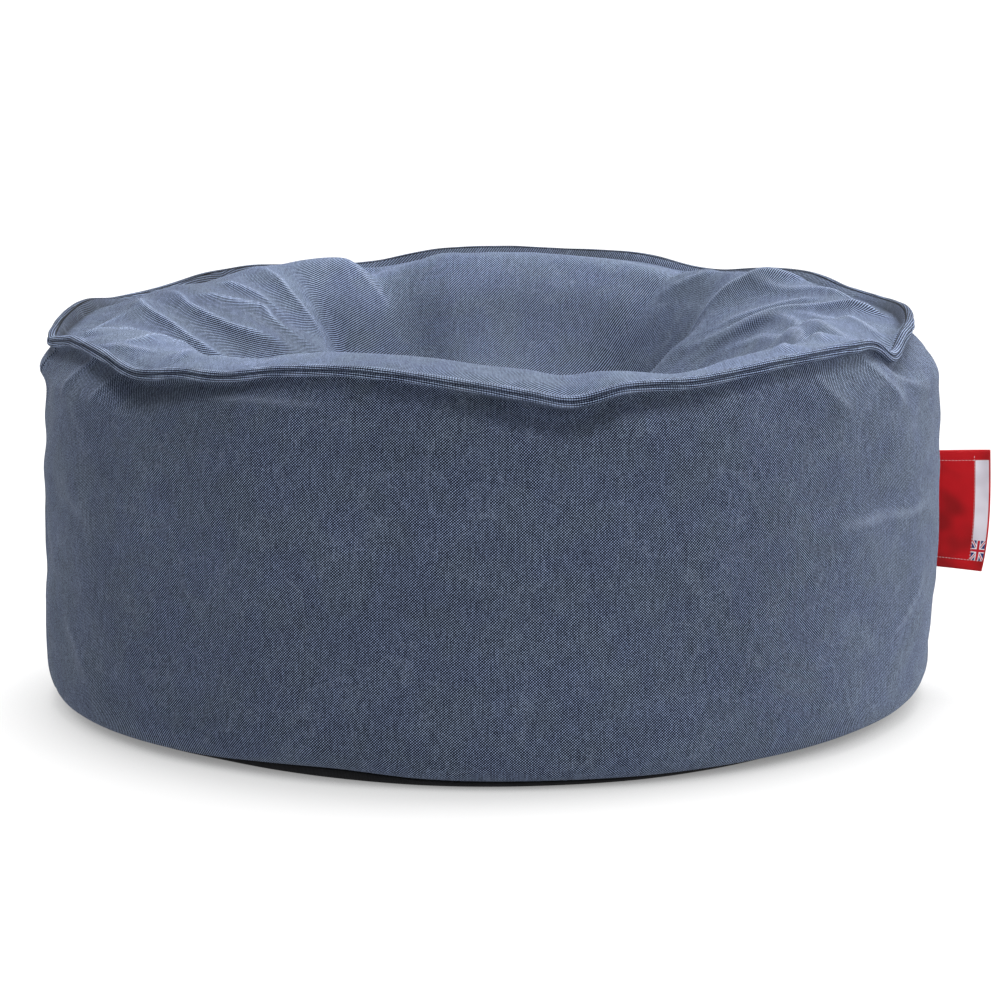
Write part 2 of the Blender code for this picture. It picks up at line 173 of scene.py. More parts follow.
# Folds of the top panel: ridges, or troughs where height is below 0, through points that are
# each an azimuth and a radius. They swell in over the share fade_in of their length and die
# away over fade_out. They are steeper on their side towards the front.
TOP_FOLDS = table(
    "points height width fade_in fade_out",
    ([(-74, 307), (-78, 288), (-90, 265), (-93, 222)], 5, 10, 0.12, 0.4),
    ([(-60, 308), (-62, 272), (-68, 240), (-86, 210)], 3.5, 9, 0.15, 0.45),
    ([(-112, 290), (-102, 265), (-99, 237), (-98, 213), (-104, 185)], 7, 12, 0.25, 0.3),
    ([(-114, 266), (-109, 240), (-109, 220), (-113, 192), (-126, 168)], 7.5, 12, 0.2, 0.3),
    ([(-113, 250), (-120, 228), (-127, 218), (-126, 200), (-133, 168)], 5, 9, 0.2, 0.35),
    ([(-126, 262), (-129, 240), (-132, 198)], 5, 10, 0.3, 0.4),
    ([(-139, 284), (-138, 250), (-138, 225), (-140, 203), (-148, 180)], 12, 17, 0.35, 0.3),
    ([(-153, 292), (-156, 272), (-160, 252), (-163, 225)], 5, 16, 0.4, 0.4),
    ([(-66, 312), (-59, 300), (-52, 285)], 3, 6, 0.3, 0.4),
    ([(-47, 308), (-52, 262), (-75, 210)], 5, 12, 0.2, 0.4),
    ([(120, 294), (121, 272), (127, 246), (133, 212), (144, 180)], 12, 17, 0.45, 0.3),
    ([(129, 248), (121, 252), (113, 270), (104, 300)], 5, 9, 0.25, 0.25),
    ([(106, 268), (112, 240), (117, 213), (127, 185)], 6, 11, 0.25, 0.35),
    ([(94, 303), (97, 258), (105, 224), (115, 189), (138, 165)], 9, 11, 0.12, 0.35),
    ([(62, 300), (76, 245), (101, 223), (111, 194), (124, 150)], 8, 11, 0.15, 0.35),
    ([(58, 262), (73, 232), (94, 208), (106, 190), (120, 150)], 6, 9, 0.25, 0.4),
    ([(70, 306), (80, 272), (96, 240), (108, 212)], 3, 5, 0.2, 0.45),
    ([(54, 296), (62, 262), (78, 226), (90, 198)], 3, 5, 0.2, 0.45),
    ([(44, 300), (50, 270), (62, 236)], 2.5, 5, 0.25, 0.45),
    ([(-84, 306), (-94, 288), (-101, 270)], 3, 6, 0.2, 0.45),
    ([(139, 272), (145, 262), (152, 255)], 4, 10, 0.3, 0.5),
    ([(-160, 305), (-161, 262), (-162, 215)], -7, 11, 0.1, 0.5),
    ([(148, 310), (150, 262), (152, 215)], -7, 12, 0.1, 0.5),
)

# Creases of the side band, from point to point, each an azimuth and a height. depth is what
# they take from the radius, so they are ridges where it is below 0.
WALL_CREASES = table(
    "points depth width",
    ([(87, 168), (73, 173), (41, 183), (20, 173), (2, 131)], 2.6, 9),
    ([(84, 160), (64, 163), (41, 170), (24, 160)], -1.1, 8),
    ([(-12, 135), (-27, 124), (-43, 106)], 1.6, 9),
    ([(-80, 163), (-70, 160), (-58, 152)], 3, 8),
    ([(-86, 97), (-72, 103), (-62, 104)], 2.6, 8),
    ([(73, 118), (69, 97), (64, 81), (59, 66)], -2.2, 7),
    ([(55, 286), (58, 271), (61, 257), (65, 241)], -3.4, 6),
    ([(45, 282), (47, 264), (52, 243)], -2.2, 6),
    ([(60, 276), (65, 261), (76, 242)], -3.4, 6),
    ([(-63, 286), (-66, 270), (-68, 256), (-71, 240)], -3.6, 5),
    ([(-56, 284), (-58, 266), (-61, 240)], -2.2, 7),
    ([(-114, 250), (-98, 249), (-86, 248), (-76, 246)], -6, 8),
    ([(0, 274), (4, 266), (7, 261), (10, 259), (13, 264), (17, 272)], -3.4, 5),
    ([(-43, 262), (-30, 268), (-18, 268)], -2, 6),
    ([(-71, 84), (-65, 60), (-60, 34)], -1.6, 7),
    ([(32, 246), (38, 258), (44, 272)], 2, 7),
    ([(-18, 262), (-8, 246), (4, 240)], 1.4, 9),
    ([(112, 190), (135, 168), (160, 128)], 2.4, 10),
    ([(-112, 84), (-135, 108), (-165, 138)], 2.4, 10),
    ([(170, 214), (188, 190), (205, 188)], 2, 9),
    ([(-120, 270), (-124, 250), (-119, 226)], 2.4, 7),
    ([(140, 276), (146, 250), (141, 230)], -2.4, 7),
)

# How round the ridges are at the crest, how wide the worn line along it is, how much the folds
# lean to the front, and over what shares of their length the creases swell in and die away
FOLD_CROWN, CREASE_CROWN = 1.6, 2.5
FOLD_CREST, CREASE_CREST = 2.2, 2.0
FOLD_LEAN = 0.35
CREASE_FADES = (0.3, 0.35)

# How pale the worn crests are, and how dark the painted shade is: in the neck under the seam, on
# the crater's slopes and on the thin fin of cloth behind the seam
FOLD_WEAR, CREASE_WEAR = 0.55, 0.35
NECK_SHADE = 0.36
SLOPE_SHADE = 0.31
FIN_SHADE = 1.0

# Side band from foot to neck: shares along the section where its rows lie
BAND_SHARES = np.concatenate(
    [np.linspace(0, 0.11, 8), np.linspace(0.11, 0.8, 42)[1:], np.linspace(0.8, 1, 23)[1:]]
)
LIP_SHARES = np.linspace(0.17, 1, 16)
CRATER_SHARES = np.concatenate([np.linspace(0, 0.55, 45)[1:], np.linspace(0.55, 0.985, 15)[1:]])

# The seat that the rim seam lies against, the top of the fin of cloth behind it and the top
# panel's edge, outwards and up from the seam point
SEAT_LOW = (-3.4, -4.1)
SEAT_TOP = (-4.6, 1.7)
FIN_TOP = (-5.2, 2.8)
TOP_EDGE = (-6.2, 1.4)

# The rim seam's outline, outwards and up from the seam point: the turned edge of the side
# band, the stitched groove, and the turned edge of the top panel
SEAM_OUTLINE = [
    (-3.2, -4.6), (-1.0, -4.9), (1.0, -4.6), (2.2, -3.6), (2.4, -2.3),
    (1.8, -1.1), (0.4, -0.5), (-1.2, -0.2), (0.2, 0.15), (1.3, 0.8),
    (1.5, 1.9), (0.7, 2.9), (-0.9, 3.5), (-2.8, 3.6), (-4.7, 2.8),
]
# Which of its points are rubbed, which get painted shade, and the first that faces the crater
RUBBED_POINTS = (2, 3, 4, 10, 11, 12)
PAINTED_SHADE_POINTS = (0, 7, 14)
FIRST_INNER_POINT = 11
STITCH_PITCH = 3.4
STATIONS_PER_STITCH = 4
RIM_STITCHES = round(2 * math.pi * RIM_RADIUS / STITCH_PITCH)
# How far each stitch pulls the seam's edges to and fro
STITCH_PULL = 0.12
# Where the thread lies, outwards and up from the seam point, and stitches' length and thickness
THREAD_PLACE = (-0.5, -0.2)
RIM_STITCH = (2.4, 0.6)
LABEL_STITCH = (1.6, 0.42)
# A stitch's rings: where they lie as a share of its length, and how thick it is there
STITCH_RINGS = [(-0.5, 0.3), (-0.42, 0.75), (-0.2, 1), (0.2, 1), (0.42, 0.75), (0.5, 0.3)]

# The crater: a share of the way in, and how far it has dropped there where gentle and steep
DROPS = [(0.10, 0.05, 0.17), (0.30, 0.24, 0.68), (0.62, 0.62, 0.95)]

# Points that a smooth curve has between two given ones, and waves in an unevenness
PATH_STEPS = 10
WAVE_COUNT = 9


def column(rows, name, azimuth):
    """A table's column, read smoothly round the pouf at each azimuth."""
    at = np.array([row.azimuth for row in rows], float)
    value = np.array([getattr(row, name) for row in rows], float)
    at = np.concatenate([at[-2:] - 360, at, at[:2] + 360])
    value = np.concatenate([value[-2:], value, value[:2]])
    slope = np.gradient(value, at)
    turned = (np.asarray(azimuth, float) - at[2]) % 360 + at[2]
    left = np.clip(np.searchsorted(at, turned, side="right") - 1, 0, len(at) - 2)
    step = at[left + 1] - at[left]
    t = (turned - at[left]) / step
    return blend(t, value[left], value[left + 1], step * slope[left], step * slope[left + 1])


def blend(t, start, end, start_slope, end_slope):
    """Cubic between two values with the slopes at its ends, for t from 0 to 1."""
    bend = start_slope * t * (1 - t) ** 2 - end_slope * t**2 * (1 - t)
    return start + (end - start) * t * t * (3 - 2 * t) + bend


def smooth(t):
    """0 to 1 with level ends."""
    t = np.clip(t, 0, 1)
    return t * t * (3 - 2 * t)


def curve_through(knots, values, at):
    """Smooth curve through (knot, value) pairs, level at its last knot, read at the numbers at."""
    knots = [np.broadcast_to(knot, at.shape) for knot in knots]
    values = [np.broadcast_to(value, at.shape) for value in values]
    steps = [b - a for a, b in zip(knots, knots[1:])]
    rates = [(b - a) / step for a, b, step in zip(values, values[1:], steps)]
    slopes = [rates[0]]
    for i in range(1, len(rates)):
        share = steps[i - 1] / (steps[i - 1] + steps[i])
        slopes.append(rates[i - 1] * (1 - share) + rates[i] * share)
    slopes.append(np.zeros(at.shape))
    result = values[0].astype(float)
    for i, step in enumerate(steps):
        t = np.clip((at - knots[i]) / step, 0, 1)
        here = blend(t, values[i], values[i + 1], step * slopes[i], step * slopes[i + 1])
        result = np.where(at >= knots[i], here, result)
    return result


def plan(azimuth, radius):
    """x and y of a point given by azimuth and radius."""
    angle = np.radians(azimuth)
    return radius * np.sin(angle), -radius * np.cos(angle)


def smooth_path(points):
    """Points of a smooth curve through the given ones."""
    points = np.array(points, float)
    padded = np.vstack([2 * points[0] - points[1], points, 2 * points[-1] - points[-2]])
    path = [points[0]]
    for a, b, c, d in zip(padded, padded[1:], padded[2:], padded[3:]):
        for t in np.linspace(0, 1, PATH_STEPS + 1)[1:]:
            bends = (2 * a - 5 * b + 4 * c - d) * t**2 + (3 * b - a - 3 * c + d) * t**3
            path.append(0.5 * (2 * b + (c - a) * t + bends))
    return np.array(path)


def distance_to_path(path, x, y):
    """Distance from each point to a path, the share of the path at which it is nearest, and how
    much of the distance is along y, from -1 to 1."""
    nearest = np.full(x.shape, 1e9)
    share = np.zeros(x.shape)
    behind = np.zeros(x.shape)
    count = len(path) - 1
    for i in range(count):
        along = path[i + 1] - path[i]
        t = ((x - path[i][0]) * along[0] + (y - path[i][1]) * along[1]) / along.dot(along)
        t = np.clip(t, 0, 1)
        away = np.hypot(x - path[i][0] - t * along[0], y - path[i][1] - t * along[1])
        share = np.where(away < nearest, (i + t) / count, share)
        along_y = (y - path[i][1] - t * along[1]) / np.maximum(away, 1e-9)
        behind = np.where(away < nearest, along_y, behind)
        nearest = np.minimum(away, nearest)
    return nearest, share, behind


def ridge(distance, width, crown):
    """Height of a cloth ridge of height 1 at a distance from its crest."""
    return np.exp((crown - np.sqrt(distance**2 + crown**2)) / width)


def waves(x, y, z, length, seed):
    """Smooth unevenness between about -1 and 1, from plane waves of about that length."""
    random = np.random.default_rng(seed)
    total = np.zeros(np.shape(x))
    for _ in range(WAVE_COUNT):
        way = random.normal(size=3)
        way *= 2 * math.pi / (length * random.uniform(0.7, 1.5)) / np.linalg.norm(way)
        start = random.uniform(0, 2 * math.pi)
        total = total + np.sin(way[0] * x + way[1] * y + way[2] * z + start)
    return total / math.sqrt(WAVE_COUNT) / 1.3


def top_folds(x, y):
    """What the folds add to the top panel's height, and how much of a worn crest is there."""
    total = np.zeros(x.shape)
    crest = np.zeros(x.shape)
    for fold in TOP_FOLDS:
        path = smooth_path([np.array(plan(*point)) * SCALE for point in fold.points])
        distance, share, behind = distance_to_path(path, x, y)
        swell = smooth(share / fold.fade_in) * smooth((1 - share) / fold.fade_out)
        width = fold.width * (1 + FOLD_LEAN * behind)
        total += fold.height * ridge(distance, width, FOLD_CROWN) * swell
        if fold.height > 0:
            crest = np.maximum(crest, np.exp(-((distance / FOLD_CREST) ** 2)) * swell)
    return total, crest


def wall_creases(azimuth, height):
    """What the creases take from the side band's radius, and how much of a worn crest is there."""
    total = np.zeros(azimuth.shape)
    crest = np.zeros(azimuth.shape)
    flat = math.radians(1) * WALL_RADIUS
    for crease in WALL_CREASES:
        path = smooth_path([(azimuth_at * flat, up * SCALE) for azimuth_at, up in crease.points])
        for turn in (-360, 0, 360):
            distance, share, _ = distance_to_path(path, (azimuth + turn) * flat, height)
            swell = smooth(share / CREASE_FADES[0]) * smooth((1 - share) / CREASE_FADES[1])
            total += crease.depth * ridge(distance, crease.width, CREASE_CROWN) * swell
            if crease.depth < 0:
                crest = np.maximum(crest, np.exp(-((distance / CREASE_CREST) ** 2)) * swell)
    return total, crest


def side_seams(azimuth):
    """What the two upright seams take from the side band's radius."""
    total = np.zeros(azimuth.shape)
    depth, groove_width = SIDE_GROOVE
    height, place, swell_width = SIDE_SWELL
    for seam in SIDE_SEAMS:
        distance = ((azimuth - seam + 180) % 360 - 180) * math.radians(1) * WALL_RADIUS
        total += depth * np.exp(-((distance / groove_width) ** 2))
        total -= height * np.exp(-(((np.abs(distance) - place) / swell_width) ** 2))
    return total


def rim_point(azimuth):
    """Radius and height of the seam, in millimetres."""
    radius = RIM_RADIUS + column(RIM, "radius", azimuth)
    height = RIM_HEIGHT + column(RIM, "height", azimuth)
    return radius, height


def inner_face(azimuth, full):
    """How much of the seam's inner face shows: all of it where the panel's edge drops by full."""
    return np.clip(column(EDGE, "drop", azimuth) / full, 0, 1)


def top_rows(azimuth):
    """Radii and heights of the top panel's rows, from behind the seam to the centre, and their
    wear:
    pale crests above 0, painted shade below 0.
    """
    radius, height = rim_point(azimuth)
    names = ("inset", "rise", "hollow", "fall")
    inset, rise, hollow, fall = (column(RIM, name, azimuth) for name in names)
    fall = np.clip(fall, 0, 1)
    crest = height + rise
    depth = crest - CRATER_HEIGHT
    rest = radius - inset
    insets = [inset * share for share in LIP_SHARES]
    insets += [inset + rest * share for share in CRATER_SHARES]
    insets = np.stack(insets, axis=1)
    drop = np.maximum(column(EDGE, "drop", azimuth), 0)

    # The panel's section, as insets from the rim and heights
    section = [
        (-TOP_EDGE[0] * np.ones_like(radius), height + TOP_EDGE[1] - drop),
        (0.24 * inset, height + 0.45 * rise - 0.7 * hollow),
        (0.5 * inset, height + 0.85 * rise - 0.7 * hollow),
        (inset, crest),
    ]
    for share, gentle, steep in DROPS:
        level = crest - depth * (gentle + (steep - gentle) * fall)
        section.append((inset + rest * share, level))
    section.append((radius, crest - depth))
    knots, levels = ([value[:, None] for value in values] for values in zip(*section))
    level = curve_through(knots, levels, insets)
    radii = radius[:, None] - insets
    x, y = plan(azimuth[:, None], radii)
    folds, wear = top_folds(x, y)
    off_seam = smooth((insets - 8) / 25)
    level = level + folds + off_seam * (1.1 * waves(x, y, 0, 75, 3) + 0.5 * waves(x, y, 0, 32, 4))

    # Towards its centre the crater's floor is made level
    rounded = smooth((0.62 - radii / radius[:, None]) / 0.5)
    level = level + (level.mean(axis=0) - level) * rounded
    # Painted shade: on the pillows between their crests, on the crater's slopes deeper below the
    # crest, and on the panel's edge just behind the seam
    pillow_shade = column(EDGE, "shade", azimuth)[:, None] * (1 - wear)
    painted_shade = np.maximum(SLOPE_SHADE * smooth((crest[:, None] - level - 6) / 34), pillow_shade)
    seam_edge_shade = np.maximum(FIN_SHADE * inner_face(azimuth, 5), 0.12)
    painted_shade = painted_shade + seam_edge_shade[:, None] * smooth((15 - insets) / 9)
    return radii, level, FOLD_WEAR * wear * (1 - rounded) - painted_shade


def wall_rows(azimuth):
    """Radii and heights of the side band's rows, from its foot to the seat under the seam, and
    their
    wear: pale creases above 0, painted shade in the neck below 0.
    """
    radius, height = rim_point(azimuth)
    foot = FOOT_RADIUS + column(WALL, "foot", azimuth)
    names = ("low", "middle", "high")
    low, middle, high = (WALL_RADIUS + column(WALL, name, azimuth) for name in names)
    lift = np.maximum(column(WALL, "lift", azimuth), 0)
    tuck, reach = (column(WALL, name, azimuth)[:, None] for name in ("tuck", "reach"))

    # The band's section, as shares of the way up, radii and heights
    section = [
        (0, foot, FLOOR_OF_BODY + lift),
        (0.05, foot + 0.6 * (low - foot), 7 + lift),
        (0.11, foot + 0.9 * (low - foot), 19 + 0.5 * lift),
        (0.20, low, np.full_like(foot, 45)),
        (0.48, middle, np.full_like(foot, 130)),
        (0.80, high, height - 48),
        (0.88, high - 2, height - 30),
        (0.955, radius + 1.5, height - 12),
        (0.985, radius - 2.9, height - 6),
        (1, radius + SEAT_LOW[0], height + SEAT_LOW[1]),
    ]
    knots, radii, heights = zip(*section)
    shares = np.broadcast_to(BAND_SHARES, (len(azimuth), len(BAND_SHARES)))
    radii = curve_through(knots, [value[:, None] for value in radii], shares)
    heights = curve_through(knots, [value[:, None] for value in heights], shares)
    around = np.broadcast_to(azimuth[:, None], radii.shape)
    creases, wear = wall_creases(around, heights)
    below = height[:, None] - heights
    neck = tuck * np.exp(-(((below - 0.45 * reach) / (0.42 * reach)) ** 2))
    neck = neck * smooth((below - 4) / 5)
    x, y = plan(azimuth[:, None], radii)
    free = smooth((below - 8) / 30) * smooth((heights - 4) / 30)
    swells = 1.3 * waves(x, y, heights, 110, 5) + 0.6 * waves(x, y, 1.6 * heights, 45, 6)
    radii = radii - creases - neck - side_seams(around) * smooth((heights - 4) / 8) + swells * free
    # The neck under the seam is darkened by painted shade, the more the deeper it is drawn in
    return radii, heights, CREASE_WEAR * wear - NECK_SHADE * np.clip(neck / 8, 0, 1) ** 0.8


def placed(name, data):
    """A new object in the scene for a mesh, lamp or camera."""
    made = bpy.data.objects.new(name, data)
    bpy.context.scene.collection.objects.link(made)
    return made


def fresh(name, mesh, slot, *materials):
    """A new object for the mesh, with its materials; slot is not used."""
    made = placed(name, mesh)
    for look in materials:
        mesh.materials.append(look)
    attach(made, "root")
    return made


def lattice(sections, closed_rows):
    """Vertices and quads of a tube of sections, a (stations, rows, 3) array, closed round."""
    stations, rows = sections.shape[:2]
    index = np.arange(stations * rows).reshape(stations, rows)
    following = np.roll(index, -1, axis=0)
    if closed_rows:
        index = np.hstack([index, index[:, :1]])
        following = np.hstack([following, following[:, :1]])
    return sections.reshape(-1, 3), corners(index, following)


def corners(here, following):
    """The four corners of each cell between rows here and the rows that follow."""
    return np.stack([here[:, :-1], following[:, :-1], following[:, 1:], here[:, 1:]], axis=2)


def closing_fans(quads, first, last):
    """Triangles that close a tube's two ends round the vertices first and last."""
    first_ring, last_ring = quads[:, 0, 0], quads[:, -1, 3]
    fans = list(zip(np.roll(first_ring, -1), first_ring, [first] * len(first_ring)))
    return fans + list(zip(last_ring, np.roll(last_ring, -1), [last] * len(last_ring)))


def cloth_mesh(name, vertices, quads, flat, fans=()):
    """A smooth mesh. Its UV map is the cloth laid flat: flat has millimetres for each corner."""
    mesh = bpy.data.meshes.new(name)
    faces = quads.reshape(-1, 4).tolist() + [list(face) for face in fans]
    mesh.from_pydata((vertices * MM).tolist(), [], faces)
    laid = mesh.uv_layers.new(name="cloth")
    pairs = np.zeros((len(mesh.loops), 2))
    pairs[: quads.size] = flat.reshape(-1, 2) * MM
    laid.data.foreach_set("uv", pairs.ravel())
    mesh.shade_smooth()
    return mesh


def add_wear_and_shade(mesh, wear):
    """A value at each vertex, stored as the attribute wear: up to 1 where the cloth is rubbed pale,
    down to -1 where shade is painted in."""
    stored = mesh.attributes.new("wear", "FLOAT", "POINT")
    values = np.zeros(len(mesh.vertices))
    values[: len(wear)] = wear
    stored.data.foreach_set("value", values)


def cover_stations():
    """Azimuths of the cover's sections: closer where the folds lie and at the side seams."""
    fine = np.linspace(-180, 180, 3601)
    density = np.ones(fine.shape)
    for low, high in FOLDED_ARCS:
        density += smooth((fine - low) / 12) * smooth((high - fine) / 12)
    total = np.concatenate([[0], np.cumsum(0.5 * (density[1:] + density[:-1]))])
    spread = np.interp(np.linspace(0, total[-1], ROUND_STATIONS, endpoint=False), total, fine)
    offsets = [side * off for side in (-1, 1) for off in BESIDE_SEAM]
    beside = [seam + offset for seam in SIDE_SEAMS for offset in offsets]
    return np.sort(np.concatenate([spread, beside]))


def make_cover():
    """The filled canvas cover: side band, drawn-in neck, lip, shoulders, folds and crater."""
    azimuth = cover_stations()
    radius, height = rim_point(azimuth)
    wall_radii, wall_heights, wall_wear_and_shade = wall_rows(azimuth)
    top_radii, top_heights, top_wear_and_shade = top_rows(azimuth)
    foot = wall_radii[:, :1]
    seats = np.stack([radius + SEAT_TOP[0], radius + FIN_TOP[0]], axis=1)
    seat_heights = np.stack([height + SEAT_TOP[1], height + FIN_TOP[1]], axis=1)
    radii = np.hstack([0.5 * foot, 0.93 * foot, wall_radii, seats, top_radii])
    under = np.full((len(azimuth), 2), FLOOR_OF_BODY)
    heights = np.hstack([under, wall_heights, seat_heights, top_heights])
    nothing = np.zeros((len(azimuth), 2))
    # Painted shade on the seat and fin rows, where the seam's inner face shows over the top panel
    fin_painted_shade = -FIN_SHADE * inner_face(azimuth, 5)[:, None] * np.ones(2)
    # wear holds pale crests above 0 and painted shade below 0
    wear = np.hstack([nothing, wall_wear_and_shade, fin_painted_shade, top_wear_and_shade])
    x, y = plan(azimuth[:, None], radii)
    sections = np.stack([x, y, heights], axis=-1)
    vertices, quads = lattice(sections, closed_rows=False)

    # Laid flat, the band is a strip and the top panel a disc, both by length along the cloth
    steps = np.linalg.norm(np.diff(sections, axis=1), axis=-1)
    along = np.hstack([np.zeros((len(azimuth), 1)), np.cumsum(steps, axis=1)])
    along = np.vstack([along, along[:1]])
    around = np.append(azimuth, azimuth[0] + 360)[:, None]
    to_centre = along[:, -1:] + radii[0, -1] - along
    strip = np.stack(np.broadcast_arrays(np.radians(around) * WALL_RADIUS, along), axis=-1)
    disc = np.stack(plan(around, to_centre), axis=-1)
    band_rows = 2 + wall_radii.shape[1]
    is_top = np.arange(quads.shape[1]) >= band_rows
    on_strip, on_disc = (corners(laid[:-1], laid[1:]) for laid in (strip, disc))
    flat = np.where(is_top[None, :, None, None], on_disc, on_strip)

    bottom, centre = len(vertices), len(vertices) + 1
    vertices = np.vstack([vertices, [0, 0, FLOOR_OF_BODY], [0, 0, heights[:, -1].mean()]])
    fans = closing_fans(quads, bottom, centre)
    mesh = cloth_mesh("pouf_cover", vertices, quads, flat, fans)
    add_wear_and_shade(mesh, wear.ravel())
    looks = (canvas("band_canvas", 0, BAND_WEAVE), canvas("top_canvas", 0, TOP_WEAVE))
    cover = fresh("pouf_cover", mesh, "canvas", *looks)
    ends = [np.zeros(len(azimuth), bool), np.ones(len(azimuth), bool)]
    top_faces = np.concatenate([np.tile(is_top, len(azimuth)), *ends])
    mesh.polygons.foreach_set("material_index", top_faces.astype(np.int32))
    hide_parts("pouf_body")


def seam_unevenness(azimuth):
    """How much the seam swells, and how far it leans outwards for each millimetre up."""
    radius, height = rim_point(azimuth)
    x, y = plan(azimuth, radius)
    return 1 + 0.06 * waves(x, y, height, 30, 11), 0.10 + 0.10 * waves(x, y, height, 120, 12)


def make_rim_seam(seam_look):
    """The two turned and stitched cloth edges that stand out round the rim."""
    azimuth = np.linspace(-180, 180, RIM_STITCHES * STATIONS_PER_STITCH, endpoint=False)
    radius, height = rim_point(azimuth)
    swell, lean = seam_unevenness(azimuth)
    outline = np.array(SEAM_OUTLINE)
    up = outline[None, :, 1] * swell[:, None]
    proud = (outline[None, :, 0] - SEAT_LOW[0]) * swell[:, None] + SEAT_LOW[0]
    stations = np.arange(len(azimuth))[:, None]
    pulled = STITCH_PULL * np.cos(stations * 2 * math.pi / STATIONS_PER_STITCH)
    outer = (outline[None, :, 0] > -1.25) & (np.abs(outline[None, :, 1]) > 0.5)
    radii = radius[:, None] + proud + lean[:, None] * up + pulled * outer
    heights = height[:, None] + up
    x, y = plan(azimuth[:, None], radii)
    vertices, quads = lattice(np.stack([x, y, heights], axis=-1), closed_rows=True)
    around = np.radians(np.append(azimuth, 180)) * RIM_RADIUS
    ends = np.vstack([outline, outline[:1]])
    across = np.concatenate([[0], np.cumsum(np.linalg.norm(np.diff(ends, axis=0), axis=1))])
    grid = np.stack(np.meshgrid(around, across, indexing="ij"), axis=-1)
    mesh = cloth_mesh("rim_seam", vertices, quads, corners(grid[:-1], grid[1:]))
    points = np.arange(len(outline))
    rubbed = np.clip(0.10 + 0.22 * waves(x, y, heights, 24, 13), 0, 0.35)
    rubbed = rubbed * np.isin(points, RUBBED_POINTS)
    painted_shade = np.isin(points, PAINTED_SHADE_POINTS)
    inner = points >= FIRST_INNER_POINT
    standing = inner_face(azimuth, 6)[:, None]
    # Rubbed points are paled; painted shade darkens the sheltered points and, where it shows, the
    # inner face
    add_wear_and_shade(mesh, (rubbed * (1 - standing) - painted_shade - 0.7 * standing * inner).ravel())
    seam = fresh("rim_seam", mesh, "welt_canvas", seam_look)
    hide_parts("rim_welt")


def thread_mesh(name, centres, ways, outs, length, thickness):
    """Stitches: short capsules at the centres, along the ways, a little flattened along outs."""
    ways = ways / np.linalg.norm(ways, axis=1, keepdims=True)
    sides = np.cross(ways, outs)
    sides /= np.linalg.norm(sides, axis=1, keepdims=True)
    outs = np.cross(sides, ways)
    turns = np.radians(np.arange(0, 360, 60))
    points = []
    for along, girth in STITCH_RINGS:
        for turn in turns:
            off = 0.5 * thickness * girth
            arch = 0.35 * thickness * (1 - 4 * along**2)
            across = sides * off * math.cos(turn) + outs * (0.8 * off * math.sin(turn) + arch)
            points.append(centres + ways * along * length + across)
    vertices = np.stack(points, axis=1)
    grid = np.arange(len(points)).reshape(len(STITCH_RINGS), len(turns))
    faces = []
    for here, following in zip(grid, grid[1:]):
        sides_of_quads = (here, np.roll(here, -1), np.roll(following, -1), following)
        faces += [list(quad) for quad in zip(*sides_of_quads)]
    faces += [list(grid[0][::-1]), list(grid[-1])]
    starts = np.arange(len(centres)) * grid.size
    mesh = bpy.data.meshes.new(name)
    all_faces = [[start + corner for corner in face] for start in starts.tolist() for face in faces]
    mesh.from_pydata((vertices.reshape(-1, 3) * MM).tolist(), [], all_faces)
    mesh.shade_smooth()
    return mesh


def make_rim_stitches():
    """Navy thread in the groove of the rim seam."""
    azimuth = np.linspace(-180, 180, RIM_STITCHES, endpoint=False) + 0.5 * 360 / RIM_STITCHES
    step = 0.1
    ends = []
    for at in (azimuth - step, azimuth, azimuth + step):
        radius, height = rim_point(at)
        swell, _ = seam_unevenness(at)
        out = (THREAD_PLACE[0] - SEAT_LOW[0]) * swell + SEAT_LOW[0]
        x, y = plan(at, radius + out)
        ends.append(np.stack([x, y, height + THREAD_PLACE[1]], axis=1))
    outs = np.stack([*plan(azimuth, np.ones(RIM_STITCHES)), np.zeros(RIM_STITCHES)], axis=1)
    mesh = thread_mesh("rim_stitches", ends[1], ends[2] - ends[0], outs, *RIM_STITCH)
    fresh("rim_stitches", mesh, "welt_canvas", thread("navy_thread", THREAD_NAVY))


def make_base(look):
    """The black cloth under the pouf, with its turned edge sewn to the foot of the side band."""
    azimuth = np.linspace(-180, 180, BASE_STATIONS, endpoint=False)
    foot = FOOT_RADIUS + column(WALL, "foot", azimuth)
    lift = np.maximum(column(WALL, "lift", azimuth), 0)
    rows = []
    for share, out, up in BASE_SECTION:
        level = up * BASE_THICKNESS + (0.8 * lift if up > 0.5 else 0) * smooth((share - 0.9) / 0.1)
        radius = foot * share + out
        if out > 0:
            radius = radius + 0.35 * waves(*plan(azimuth, foot), 0, 22, 21)
        x, y = plan(azimuth, radius)
        quilt = 0.25 * (1 + waves(x, y, 0, 60, 22)) if share < 0.95 and up < 0.5 else 0
        rows.append(np.stack(np.broadcast_arrays(x, y, level + quilt), axis=1))
    sections = np.stack(rows, axis=1)
    vertices, quads = lattice(sections, closed_rows=False)
    flat = vertices[quads][..., :2]
    under, over = len(vertices), len(vertices) + 1
    vertices = np.vstack([vertices, [0, 0, 0.4], [0, 0, BASE_THICKNESS]])
    mesh = cloth_mesh("base_cloth", vertices, quads, flat, closing_fans(quads, under, over))
    base = fresh("base_cloth", mesh, "black_cloth", look)
    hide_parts("base_panel")


